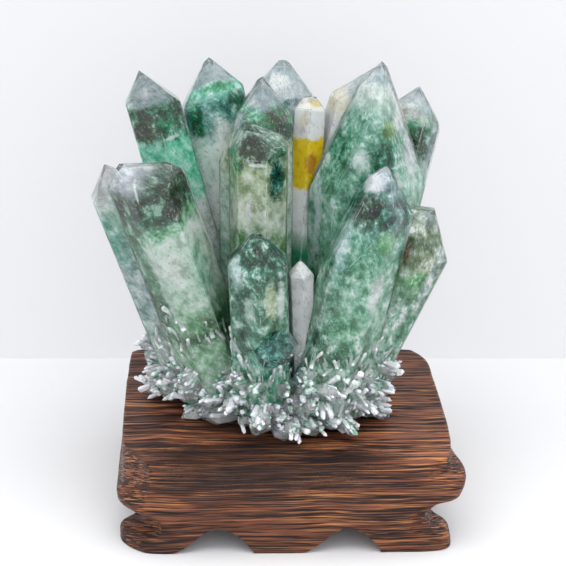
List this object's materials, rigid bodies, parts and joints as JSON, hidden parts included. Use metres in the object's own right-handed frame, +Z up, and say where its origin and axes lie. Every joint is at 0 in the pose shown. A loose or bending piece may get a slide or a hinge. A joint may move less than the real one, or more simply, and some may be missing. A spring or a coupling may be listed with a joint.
{
  "type": "quartz crystal cluster",
  "caption": "Cluster of tall green quartz crystals with pointed tips, grown from a rock foot with small crystals round it, resting on a carved dark wood stand.",
  "frame": {"origin": "middle of the bounding box at the level the stand's feet rest on", "axes": "+X to the right as seen from the front, +Y towards the back, +Z up; the tallest crystals lean towards +Y"},
  "size_m": [0.1322, 0.107, 0.1585],
  "materials": {
    "green_quartz": "polished",
    "dark_wood": "satin"
  },
  "bodies": {
    "root": {"quartz_cluster": "green_quartz", "wooden_stand": "dark_wood"}
  },
  "joints": []
}
